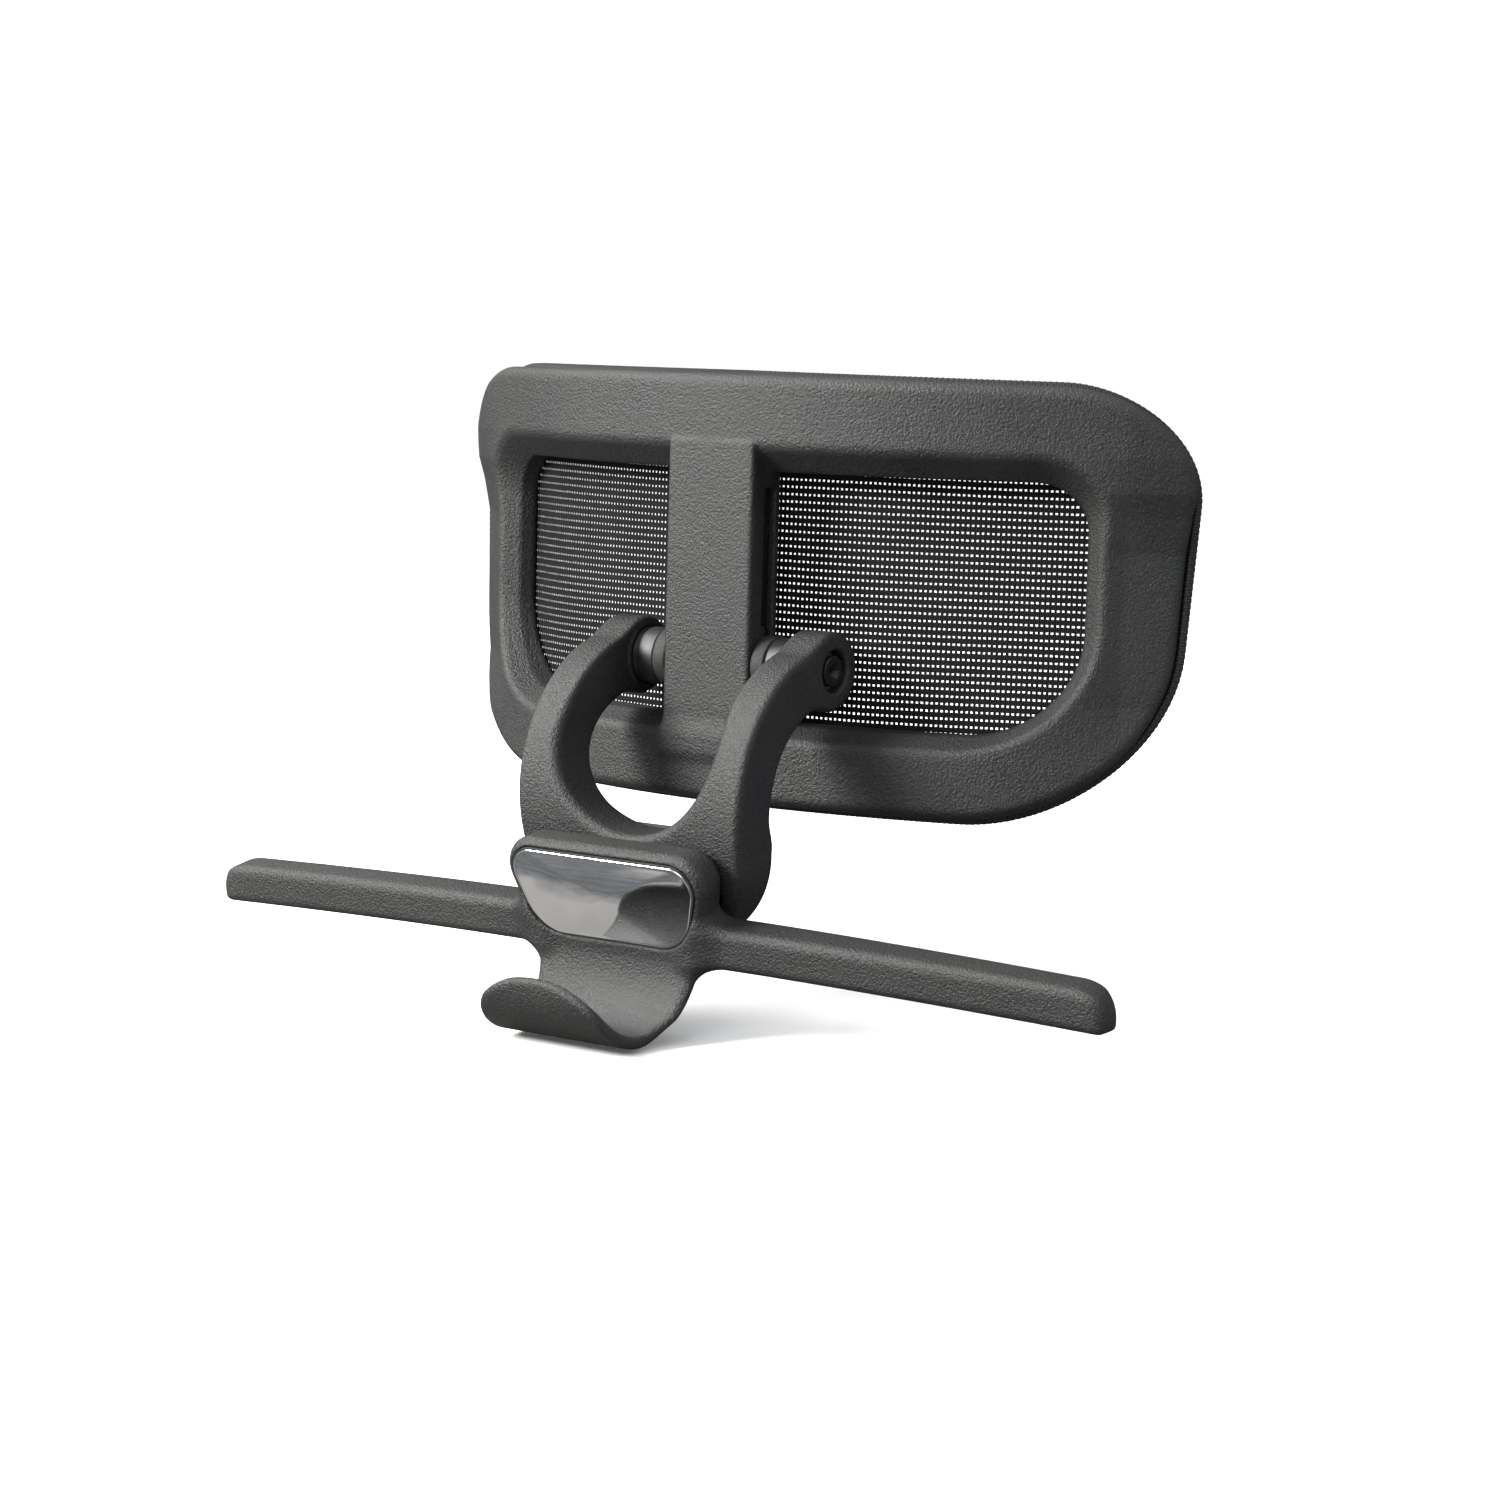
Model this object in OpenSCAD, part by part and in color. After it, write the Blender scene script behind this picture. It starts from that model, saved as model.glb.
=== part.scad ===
// Headrest attachment with a coat hanger, for the top of a mesh office chair.
// Origin at the middle of the face that bolts to the chair; +Y to the rear,
// +Z up, the sitter's head on the -Y side. All sizes in millimetres.

/* [Headrest] */
// width over the fabric rim
head_w = 314; // [296:1:330]
// top edge above the pivot axle
head_top = 100; // [96:1:106]
// bottom edge below the pivot axle
head_drop = 50; // [48:1:56]
// radius of the bowed rear face
bow_rear_r = 224; // [215:1:240]
// radius of the bowed front face that carries the fabric
bow_front_r = 251; // [245:1:260]
// depth of the frame on its centre line
frame_t = 23.7; // [23:0.1:25]
// fabric thickness
cloth_t = 0.9; // [0.6:0.1:1.2]
// forward lean of the spine at rest, in degrees
rest_lean = 2.75; // [0:0.25:5]

/* [Spine and slider] */
// width of the spine
spine_w = 36; // [34:0.5:40]
// rear face of the spine behind the axle
spine_rear = 11.2; // [11.2:0.1:12]
// front face of the spine ahead of the axle
spine_front = 4.8; // [4.6:0.1:5]
// wall thickness of the rail channel
rail_wall = 3; // [2.5:0.1:3.2]
// top of the side slots above the axle
slot_top = 61; // [61:0.5:62]
// distance the headrest can drop
slide_down = 48; // [40:1:48]
// distance the headrest can rise
slide_up = 4; // [2:0.5:4]
// diameter of the pivot axle
axle_d = 6; // [5:0.2:6]

/* [Yoke] */
// width over the two arms
yoke_w = 94; // [92:0.5:100]
// clear gap between the two arms
arm_gap = 66; // [66:0.5:68]
// diameter of the pivot bosses
boss_d = 27; // [25:0.5:27]
// axle ahead of the mounting face
axle_fwd = 33; // [33:0.5:36]
// axle above the mounting face centre
axle_up = 70; // [70:0.5:74]

/* [Coat hanger] */
// width over the two hanger arms
hanger_w = 374; // [340:1:400]
// how far each arm tip hangs below its root
arm_droop = 3.9; // [3:0.1:5]
// inner radius of the coat hook
hook_r = 20.3; // [19:0.1:21]
// wall thickness of the coat hook
hook_t = 5; // [4.5:0.5:5.5]
// slope of the hub and its plate from the vertical, in degrees
hub_tilt = 16; // [14:0.5:17]

/* [Mounting] */
// distance between the two mounting studs
stud_pitch = 60; // [58:1:60]
// diameter of the mounting studs
stud_d = 6; // [5:1:6]
// length of stud ahead of the mounting face
stud_reach = 14; // [12:0.5:14]
// thickness of the rubber pad
pad_t = 1.5; // [1:0.1:2]

/* [Hidden] */
$fn = 96;
gap = 0.3;
fit_gap = 0.05;
long = 400;

rear_cy = spine_rear - 0.5 - bow_rear_r;
front_cy = spine_rear - 0.5 - frame_t - bow_front_r;
rim_in = cloth_t + 0.3;
band_top = 25;
band_side = 24.5;
band_bottom = 25.4;
bevel_depth = 11;
throat_low = 4.6;
throat_high = 8.5;

channel_x = spine_w / 2 - rail_wall;
channel_rear = spine_rear - rail_wall;
block_h = 26;
buffer_t = 1.6;
channel_z0 = -(slide_up + block_h / 2 + 0.4 + buffer_t);
channel_z1 = slide_down + block_h / 2 + 0.4 + buffer_t;
slot_w = axle_d + 0.4;
slot_z0 = -(slide_up + axle_d / 2 + 1);
cover_t = 2.2;
cover_z0 = channel_z0 - 8;
cover_z1 = channel_z1 + 9;
cover_screw_z = [cover_z0 + 4, cover_z1 - 4];
cover_screw_x = 9;
cover_screw_r = 1.5;
rack_t = 1.2;
rack_w = 8;
notch_pitch = 8;
ball_r = 2;
ball_z = 8.4;
pocket_r = 2.3;

disc_r = 10.5;
collar_r = 10;
disc_x0 = spine_w / 2 + gap;
collar_x0 = disc_x0 + 5.7;
arm_x = arm_gap / 2;
boss_r = boss_d / 2;
bush_r = 5;
recess_r = 7.3;
recess_deep = 5;
recess_x = yoke_w / 2 - recess_deep;
washer_t = 1;
axle_end = recess_x + gap + washer_t;
tap_r = 2;
spring_pocket_r = 7.6;
spring_pocket_x = collar_x0 + 2.8;

arm_cy = -axle_fwd + 2.5;
arm_cz = axle_up - 45.5;
arm_r_out = 54.5;
arm_r_in = 34.5;
base_bottom = -20;
base_round = 32;
base_rear = arm_cy + (arm_r_out - arm_cz * sin(hub_tilt)) / cos(hub_tilt);
throat_z = axle_up - 53.3;
bolt_seat = 10.5;
bolt_washer_t = 1.2;
bolt_waist_r = 2.6;

hub_front = 0.2;
hub_rear = hub_front + 16;
hub_top = 19.4;
hub_low = -24;
hook_cy = hub_rear + hook_r;
hook_cz = -13.6;
badge_seat = hub_rear - 1.6;
screw_x = 14;
screw_z = -3;
screw_seat = hub_front + 5.5;
insert_len = 10;
arm_in = 42.5;

black = [0.09, 0.09, 0.1];
soft_black = [0.05, 0.05, 0.05];
steel = [0.62, 0.63, 0.65];
grey = [0.45, 0.46, 0.48];
brass = [0.75, 0.6, 0.3];
white = [0.85, 0.85, 0.82];
mirror_grey = [0.9, 0.9, 0.92];

// ---- placing helpers ----
module at_axle() {
    translate([0, -axle_fwd, axle_up]) children();
}

module at_head() {
    at_axle() rotate([rest_lean, 0, 0]) children();
}

// turns the hub's own upright onto the sloping rear face of the yoke
module at_hub() {
    translate([0, base_rear, 0]) rotate([-hub_tilt, 0, 0]) children();
}

// 2D shape in x and z, given depth in y
module plate_xz(y0, y1) {
    translate([0, y1, 0]) rotate([90, 0, 0]) linear_extrude(y1 - y0) children();
}

// 2D shape in y and z, given width in x
module plate_yz(x0, x1) {
    translate([x0, 0, 0]) rotate([90, 0, 90]) linear_extrude(x1 - x0) children();
}

module rod_x(r, x0, x1) {
    translate([x0, 0, 0]) rotate([0, 90, 0]) cylinder(r = r, h = x1 - x0);
}

module rod_y(r, y0, y1) {
    translate([0, y0, 0]) rotate([-90, 0, 0]) cylinder(r = r, h = y1 - y0);
}

module ring_x(r_out, r_in, x0, x1) {
    difference() {
        rod_x(r_out, x0, x1);
        rod_x(r_in, x0 - 1, x1 + 1);
    }
}

module both_sides() {
    children();
    mirror([1, 0, 0]) children();
}

// ---- headrest ----
// outline of the headrest, drawn in from the fabric rim by d
module head_outline(d) {
    top_r = 38;
    low_r = 64;
    half = head_w / 2;
    hull() {
        for (s = [-1, 1]) {
            translate([s * (half - top_r), head_top - 0.5 - top_r]) circle(r = top_r - d);
            translate([s * (half - low_r - 2.5), low_r - head_drop]) circle(r = low_r - d);
        }
        translate([0, head_top - top_r]) circle(r = top_r - d);
    }
}

// outer edge of the window, at the rear band
module window_outline() {
    half = head_w / 2 - band_side;
    z0 = -head_drop + band_bottom;
    z1 = head_top - band_top;
    hull() for (s = [-1, 1]) {
        translate([s * (half - 22), z1 - 22]) circle(r = 22);
        translate([s * (half - 45), z0 + 45]) circle(r = 45);
    }
}

// keeps what lies between the two end walls, which stand square to the bow
module rim_wedge(d) {
    a = asin((head_w / 2 - d) / bow_rear_r);
    translate([0, rear_cy, -long / 2]) linear_extrude(long)
        polygon([[0, 0], [-long * sin(a), long * cos(a)], [long * sin(a), long * cos(a)]]);
}

module rim_solid(d) {
    intersection() {
        plate_xz(-120, 40) head_outline(d);
        rim_wedge(d);
    }
}

module bow_solid(cy, r) {
    translate([0, cy, -long / 2]) cylinder(r = r, h = long, $fn = 180);
}

// the opening through to the fabric, inside the sloping walls
module window_throat() {
    half = head_w / 2 - band_side - 9.5;
    z0 = -head_drop + band_bottom + throat_low;
    z1 = head_top - band_top - throat_high;
    hull() for (s = [-1, 1]) {
        translate([s * (half - 16), z1 - 16]) circle(r = 16);
        translate([s * (half - 36), z0 + 36]) circle(r = 36);
    }
}

// sloping upper and lower walls of the window, turned about the bow's axis
module bevel_turn() {
    z0 = -head_drop + band_bottom;
    z1 = head_top - band_top;
    r1 = bow_rear_r + 1;
    r0 = bow_rear_r - bevel_depth;
    translate([0, rear_cy, 0]) rotate_extrude($fn = 180)
        polygon([[r0, z0 + throat_low], [r1, z0 - 0.5], [r1, z1 + 0.8],
            [r0, z1 - throat_high]]);
}

// sloping side walls of the window
module bevel_sides() {
    half = head_w / 2 - band_side;
    edge_y = rear_cy + sqrt(bow_rear_r * bow_rear_r - half * half);
    translate([0, 0, -long / 2]) linear_extrude(long)
        polygon([[-half - 9, edge_y + 2], [-half + 9.5, edge_y - 1], [-half + 9.5, edge_y - 10],
            [half - 9.5, edge_y - 10], [half - 9.5, edge_y - 1], [half + 9, edge_y + 2],
            [half + 9, 60], [-half - 9, 60]]);
}

module window_cut() {
    plate_xz(-120, 40) window_throat();
    intersection() {
        plate_xz(-120, 40) window_outline();
        bevel_turn();
        bevel_sides();
    }
}

module ring_blank() {
    intersection() {
        rim_solid(rim_in);
        difference() {
            bow_solid(rear_cy, bow_rear_r);
            bow_solid(front_cy, bow_front_r);
        }
    }
}

module retainer_shape(d_out, d_in, deep) {
    intersection() {
        difference() {
            rim_solid(d_out);
            rim_solid(d_in);
        }
        difference() {
            bow_solid(front_cy, bow_front_r + deep);
            bow_solid(front_cy, bow_front_r);
        }
    }
}

module spine_blank() {
    translate([-spine_w / 2, -spine_front, -31])
        cube([spine_w, spine_front + spine_rear, head_top - band_top + 33]);
}

module rail_space() {
    translate([-channel_x, -spine_front - 1, channel_z0])
        cube([2 * channel_x, channel_rear + spine_front + 1, channel_z1 - channel_z0]);
    translate([-spine_w, -slot_w / 2, slot_z0]) cube([2 * spine_w, slot_w, slot_top - slot_z0]);
    translate([-spine_w / 2 + 0.4, -40, cover_z0 - gap])
        cube([spine_w - 0.8, 40 - spine_front, cover_z1 - cover_z0 + 2 * gap]);
}

module cover_screw_spots() {
    for (x = [-cover_screw_x, cover_screw_x], z = cover_screw_z) {
        translate([x, -spine_front - cover_t, z]) children();
    }
}

module head_frame() {
    color(black) at_head() difference() {
        union() {
            difference() {
                ring_blank();
                window_cut();
            }
            spine_blank();
        }
        rail_space();
        cover_screw_spots() rod_y(cover_screw_r, 0, 10);
        retainer_shape(7, 10.5, 3.5);
    }
}

module rail_cover() {
    color(soft_black) at_head() difference() {
        translate([-spine_w / 2 + 1, -spine_front - cover_t, cover_z0])
            cube([spine_w - 2, cover_t, cover_z1 - cover_z0]);
        cover_screw_spots() rod_y(cover_screw_r, -1, 10);
    }
}

module rail_screws() {
    color(steel) at_head() cover_screw_spots() {
        difference() {
            rod_y(2.9, -1.8, 0);
            rod_y(1, -2, -0.9, $fn = 6);
        }
        rod_y(cover_screw_r, 0, 9);
    }
}

module detent_rack() {
    color(white) at_head() difference() {
        translate([-rack_w / 2, channel_rear - rack_t, channel_z0 + buffer_t])
            cube([rack_w, rack_t, channel_z1 - channel_z0 - 2 * buffer_t]);
        for (z = [ball_z - slide_up : notch_pitch : ball_z + slide_down]) {
            translate([0, channel_rear - rack_t - 1, z]) rod_x(1.9, -rack_w, rack_w);
        }
    }
}

module end_buffers() {
    color(soft_black) at_head() for (z = [channel_z0, channel_z1 - buffer_t]) {
        translate([-channel_x + 1, -spine_front + 0.3, z])
            cube([2 * channel_x - 2, channel_rear + spine_front - 0.6, buffer_t]);
    }
}

module mesh_retainer() {
    color(soft_black) at_head() retainer_shape(7.2, 10.3, 3.2);
}

module mesh_panel() {
    color(grey) at_head() intersection() {
        rim_solid(0);
        difference() {
            bow_solid(front_cy, bow_front_r);
            bow_solid(front_cy, bow_front_r - cloth_t);
        }
    }
}

module mesh_rim() {
    color(grey) at_head() retainer_shape(0, cloth_t, 6.5);
}

// ---- slider ----
module pivot_axle() {
    color(steel) at_head() difference() {
        rod_x(axle_d / 2, -axle_end, axle_end);
        both_sides() rod_x(tap_r, axle_end - 10, axle_end + 1);
    }
}

module slider_block() {
    color(white) at_head() difference() {
        translate([-channel_x + gap, -spine_front + 0.2, -block_h / 2])
            cube([2 * (channel_x - gap), channel_rear + spine_front - 0.2 - gap, block_h]);
        rod_x(axle_d / 2 + fit_gap, -spine_w, spine_w);
        translate([-rack_w / 2 - 0.5, channel_rear - rack_t - gap, -block_h])
            cube([rack_w + 1, 10, 2 * block_h]);
        translate([0, 0, ball_z]) rod_y(pocket_r, -3.2, 20);
    }
}

module friction_disc() {
    ring_x(disc_r, axle_d / 2 + fit_gap, disc_x0, collar_x0 - gap);
}

module friction_disc_l() {
    color(soft_black) at_head() friction_disc();
}

module friction_disc_r() {
    color(soft_black) at_head() mirror([1, 0, 0]) friction_disc();
}

module pivot_washers() {
    color(steel) at_head() both_sides()
        ring_x(6.4, axle_d / 2 + fit_gap, recess_x + gap, axle_end);
}

module pivot_screws() {
    color(soft_black) at_head() both_sides() {
        difference() {
            rod_x(5.4, axle_end, axle_end + 3);
            rod_x(2.6, axle_end + 1.2, axle_end + 4, $fn = 6);
        }
        rod_x(tap_r, axle_end - 9, axle_end);
    }
}

// coil of square wire
module detent_spring() {
    turns = 6;
    color(steel) at_head() translate([0, -3, ball_z]) rotate([-90, 0, 0])
        linear_extrude(height = 5.4, twist = -360 * turns, slices = 96, $fn = 16)
            difference() {
                circle(r = 1.9, $fn = 16);
                circle(r = 1.4, $fn = 16);
                translate([-3, -3]) square([6, 3]);
            }
}

module detent_ball() {
    color(steel) at_head() translate([0, channel_rear - rack_t - gap - ball_r, ball_z])
        sphere(r = ball_r);
}

// ---- yoke ----
// everything ahead of the round back of the arms and the sloping rear face
module yoke_back() {
    tangent_w = arm_cz * cos(hub_tilt) - (base_rear - arm_cy) * sin(hub_tilt);
    translate([arm_cy, arm_cz]) circle(r = arm_r_out);
    translate([base_rear, 0]) rotate(-hub_tilt) translate([-60, -60]) square([60, 60 + tangent_w]);
}

module yoke_side() {
    translate([-axle_fwd, axle_up]) circle(r = boss_r);
    intersection() {
        translate([arm_cy, arm_cz]) difference() {
            circle(r = arm_r_out);
            circle(r = arm_r_in);
        }
        translate([arm_cy, arm_cz - 1]) square([arm_r_out + 1, arm_r_out + 2]);
    }
    intersection() {
        polygon([[pad_t, base_bottom + 5], [pad_t + 5, base_bottom], [40, base_bottom], [40, arm_cz],
            [pad_t + 3, arm_cz], [pad_t, arm_cz - 3]]);
        yoke_back();
    }
}

// outline of the yoke seen from the rear, rounding in towards its foot
module yoke_outline() {
    hull() {
        translate([-yoke_w / 2, axle_up - 50]) square([yoke_w, 80]);
        for (s = [-1, 1]) {
            translate([s * (yoke_w / 2 - base_round - 1), base_bottom + base_round]) circle(r = base_round);
        }
    }
}

module yoke_front() {
    difference() {
        yoke_outline();
        translate([0, throat_z + arm_x]) circle(r = arm_x);
        translate([-arm_x, throat_z + arm_x]) square([arm_gap, long]);
    }
}

module stud_spots() {
    for (s = [-1, 1]) {
        translate([s * stud_pitch / 2, 0, 0]) children();
    }
}

module screw_spots() {
    for (s = [-1, 1]) {
        translate([s * screw_x, 0, screw_z]) children();
    }
}

module yoke() {
    color(black) difference() {
        intersection() {
            plate_yz(-yoke_w / 2, yoke_w / 2) yoke_side();
            plate_xz(-60, 40) yoke_front();
        }
        at_axle() rod_x(bush_r, -yoke_w, yoke_w);
        at_axle() both_sides() rod_x(recess_r, recess_x, yoke_w);
        stud_spots() {
            rod_y(stud_d / 2 + 0.3, -10, bolt_seat);
            rod_y(6.6, bolt_seat - bolt_washer_t, 40);
        }
        at_hub() screw_spots() rod_y(4, -insert_len, 1);
    }
}

module pivot_bush() {
    ring_x(bush_r, axle_d / 2 + fit_gap, arm_x, recess_x);
}

module pivot_bush_l() {
    color(brass) at_axle() pivot_bush();
}

module pivot_bush_r() {
    color(brass) at_axle() mirror([1, 0, 0]) pivot_bush();
}

module friction_collar() {
    difference() {
        rod_x(collar_r, collar_x0, arm_x);
        rod_x(axle_d / 2 + 0.3, collar_x0 - 1, arm_x + 1);
        rod_x(spring_pocket_r, spring_pocket_x, arm_x + 1);
    }
}

module friction_collar_l() {
    color(steel) at_axle() friction_collar();
}

module friction_collar_r() {
    color(steel) at_axle() mirror([1, 0, 0]) friction_collar();
}

// one cupped spring washer, turned about the x axis
module disc_spring(x, cup) {
    translate([x, 0, 0]) rotate([0, 90, 0]) rotate_extrude()
        polygon([[3.6, cup], [7.2, 0], [7.2, 0.8], [3.6, cup + 0.8]]);
}

module disc_springs() {
    color(grey) at_axle() both_sides() {
        disc_spring(spring_pocket_x + 0.2, 1.2);
        disc_spring(spring_pocket_x + 1.3, 1.2);
        disc_spring(spring_pocket_x + 2.4, 1.2);
    }
}

// ---- coat hanger ----
module hub_outline() {
    hull() for (s = [-1, 1]) {
        translate([s * 30.1, hub_top - 11.5]) circle(r = 11.5);
        translate([s * 22, hook_cz - 17]) circle(r = 10);
    }
}

module badge_outline(d) {
    hull() for (s = [-1, 1]) {
        translate([s * 29.2, 7.8]) circle(r = 8.5 + d);
        translate([s * 19.9, 0.7]) circle(r = 15.6 + d);
    }
}

module hub_side() {
    difference() {
        polygon([[hub_front, hub_top], [hub_rear, hub_top], [hub_rear, hook_cz], [hub_rear + 3, hub_low],
            [hub_front + 6, hub_low], [hub_front, hub_low + 5]]);
        translate([hook_cy, hook_cz]) circle(r = hook_r);
    }
    intersection() {
        translate([hook_cy, hook_cz]) difference() {
            circle(r = hook_r + hook_t);
            circle(r = hook_r);
        }
        polygon([[hub_rear - 10, hook_cz + 1], [hub_rear - 10, hook_cz - 40],
            [hook_cy + 40, hook_cz - 40], [hook_cy + 40, hook_cz + 40 * tan(hub_tilt)],
            [hook_cy, hook_cz]]);
    }
}

module lip_outline() {
    intersection() {
        translate([0, hook_cz - 29]) circle(r = 35);
        translate([-28, hook_cz - 40]) square([56, 80]);
    }
}

module arm_root() {
    offset(r = 3) offset(delta = -3)
        polygon([[13, -6.4], [30, -10.5], [28.6, -25.1], [14, -25.1]]);
}

module arm_tip() {
    translate([0, -arm_droop]) offset(r = 3) offset(delta = -3)
        polygon([[13.2, -6.4], [26.4, -10.1], [25.2, -23.9], [14, -23.9]]);
}

module hanger_arm() {
    root_x = 28;
    difference() {
        hull() {
            plate_yz(root_x, root_x + 0.5) arm_root();
            plate_yz(hanger_w / 2 - 0.5, hanger_w / 2) arm_tip();
        }
        at_hub() translate([0, -60, -60]) cube([arm_in, 60.1 + hub_front, 120]);
    }
}

module hanger() {
    color(black) difference() {
        union() {
            at_hub() intersection() {
                plate_yz(-60, 60) hub_side();
                union() {
                    plate_xz(0, hook_cy) hub_outline();
                    plate_xz(hook_cy - 1, hook_cy + 40) lip_outline();
                }
            }
            both_sides() hanger_arm();
        }
        at_hub() plate_xz(badge_seat, hub_rear + 1) badge_outline(0.6);
        at_hub() screw_spots() {
            rod_y(2.7, -1, hub_rear);
            rod_y(5, screw_seat, hub_rear);
        }
    }
}

module hanger_screws() {
    color(steel) at_hub() screw_spots() difference() {
        union() {
            rod_y(4.4, screw_seat, screw_seat + 4);
            rod_y(2.5, -insert_len + 0.5, screw_seat);
        }
        rod_y(2.3, screw_seat + 1.8, screw_seat + 5, $fn = 6);
    }
}

module hanger_inserts() {
    color(brass) at_hub() screw_spots() difference() {
        rod_y(4, -insert_len, 0);
        rod_y(2.5 + fit_gap, -insert_len - 1, 1);
    }
}

module badge_gasket() {
    color(soft_black) at_hub() difference() {
        plate_xz(badge_seat, hub_rear + 0.1) badge_outline(0.5);
        plate_xz(badge_seat + 0.6, hub_rear + 1) badge_outline(0.05);
    }
}

module badge() {
    color(mirror_grey) at_hub() plate_xz(badge_seat + 0.6, hub_rear + 0.7) badge_outline(0);
}

// ---- fastening to the chair ----
module mount_pad() {
    color(soft_black) difference() {
        plate_xz(0, pad_t) offset(r = 4) offset(delta = -7) intersection() {
            yoke_outline();
            translate([-yoke_w / 2, -20]) square([yoke_w, 40]);
        }
        stud_spots() rod_y(stud_d / 2 + 0.4, -1, pad_t + 1);
    }
}

module mount_bolts() {
    color(steel) stud_spots() difference() {
        union() {
            rod_y(stud_d / 2, -stud_reach, 0);
            rod_y(bolt_waist_r, 0, bolt_seat);
            rod_y(5, bolt_seat, bolt_seat + 6);
        }
        rod_y(2.9, bolt_seat + 3, bolt_seat + 7, $fn = 6);
    }
}

module mount_washers() {
    color(steel) stud_spots() difference() {
        rod_y(6.2, bolt_seat - bolt_washer_t, bolt_seat);
        rod_y(stud_d / 2 + 0.1, 0, 40);
    }
}

yoke();
mount_pad();
mount_bolts();
mount_washers();
pivot_bush_l();
pivot_bush_r();
friction_collar_l();
friction_collar_r();
disc_springs();
hanger();
hanger_screws();
hanger_inserts();
badge_gasket();
badge();
pivot_axle();
slider_block();
friction_disc_l();
friction_disc_r();
pivot_washers();
pivot_screws();
detent_spring();
detent_ball();
head_frame();
rail_cover();
rail_screws();
detent_rack();
end_buffers();
mesh_retainer();
mesh_panel();
mesh_rim();
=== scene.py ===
import math

import bpy
import numpy as np
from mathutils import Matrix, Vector


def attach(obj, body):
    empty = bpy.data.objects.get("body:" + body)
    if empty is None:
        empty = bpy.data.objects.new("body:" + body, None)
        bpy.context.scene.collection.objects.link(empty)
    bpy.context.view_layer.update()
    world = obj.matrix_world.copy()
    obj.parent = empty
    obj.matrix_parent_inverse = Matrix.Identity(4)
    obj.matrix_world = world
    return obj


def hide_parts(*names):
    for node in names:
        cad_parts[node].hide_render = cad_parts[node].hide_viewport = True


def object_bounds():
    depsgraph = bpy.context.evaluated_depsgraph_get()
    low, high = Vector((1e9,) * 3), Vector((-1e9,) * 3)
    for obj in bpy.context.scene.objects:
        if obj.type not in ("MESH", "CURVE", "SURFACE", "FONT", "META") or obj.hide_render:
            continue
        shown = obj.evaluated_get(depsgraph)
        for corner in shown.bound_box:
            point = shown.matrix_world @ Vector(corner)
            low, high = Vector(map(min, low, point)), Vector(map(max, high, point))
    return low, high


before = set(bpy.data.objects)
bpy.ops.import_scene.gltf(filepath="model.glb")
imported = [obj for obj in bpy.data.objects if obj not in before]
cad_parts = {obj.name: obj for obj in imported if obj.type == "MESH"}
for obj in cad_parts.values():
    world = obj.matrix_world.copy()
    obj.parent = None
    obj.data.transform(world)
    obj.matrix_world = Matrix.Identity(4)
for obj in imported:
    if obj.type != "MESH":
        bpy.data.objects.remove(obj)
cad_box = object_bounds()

MM = 0.001

# ---- the part's main sizes, in millimetres, as in the CAD model ----
AXLE_Y, AXLE_Z, AXLE_R = -33.0, 70.0, 3.1
LEAN = math.radians(2.75)
REAR_CY, REAR_R = -213.3, 224.0
FRONT_CY, FRONT_R = -264.0, 251.0
FRAME_IN = 2.4
SPINE_HALF, SPINE_REAR, SPINE_FRONT = 18.0, 11.2, -4.8
SPINE_LOW, SPINE_TOP = -31.0, 77.0
RAIL_HALF, RAIL_LOW, RAIL_TOP, RAIL_REAR = 15.0, -19.0, 63.0, 8.2
SLOT_HALF, SLOT_LOW, SLOT_TOP = 3.2, -8.0, 61.0
COVER_HALF, COVER_LOW, COVER_TOP = 17.0, -27.0, 72.0
COVER_SCREW_X, COVER_SCREW_LOW, COVER_SCREW_TOP = 9.0, -23.0, 68.0
WINDOW_HALF, WINDOW_LOW, WINDOW_TOP = 132.5, -24.6, 75.0
BEVEL_DEEP = 9.5
ARM_Y, ARM_Z, ARM_REAR_R, ARM_AHEAD_R = -30.5, 24.5, 54.5, 34.5
YOKE_HALF, THROAT_HALF, THROAT_Z = 47.0, 33.0, 49.7
BOSS_R, SINK_R, SINK_X = 13.5, 7.4, 42.0
STUD_X, STUD_R, STUD_SEAT_R = 30.0, 3.3, 6.6
HUB_SCREW_X, HUB_SCREW_W = 14.0, -3.0
PAD_THICK = 1.5
FOOT_X, FOOT_Z, FOOT_R = 14.0, 12.0, 32.0
TILT = math.radians(16.0)
HUB_Y, TANGENT_W = 19.17, 9.86
HUB_FRONT, HUB_REAR = 0.2, 16.2
HOOK_V, HOOK_W, HOOK_R, HOOK_T = 36.5, -13.6, 20.3, 4.3
ARM_END = 187.0


# ---- signed distances: negative inside, in millimetres ----
def both(a, b, r=0.0):
    """What is in a and in b, its edge rounded to radius r."""
    u = np.maximum(r + a, 0.0)
    v = np.maximum(r + b, 0.0)
    return np.minimum(-r, np.maximum(a, b)) + np.sqrt(u * u + v * v)


def either(a, b, r=0.0):
    """What is in a or in b, with a fillet of radius r where they meet."""
    u = np.maximum(r - a, 0.0)
    v = np.maximum(r - b, 0.0)
    return np.maximum(r, np.minimum(a, b)) - np.sqrt(u * u + v * v)


def without(a, b, r=0.0):
    return both(a, -b, r)


def disc(u, v, cu, cv, r):
    return np.sqrt((u - cu) ** 2 + (v - cv) ** 2) - r


def rect(u, v, u0, u1, v0, v1, r=0.0):
    du = np.abs(u - (u0 + u1) / 2) - (u1 - u0) / 2 + r
    dv = np.abs(v - (v0 + v1) / 2) - (v1 - v0) / 2 + r
    out = np.sqrt(np.maximum(du, 0.0) ** 2 + np.maximum(dv, 0.0) ** 2)
    return out + np.minimum(np.maximum(du, dv), 0.0) - r


def slab(u, u0, u1):
    return np.abs(u - (u0 + u1) / 2) - (u1 - u0) / 2


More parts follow.
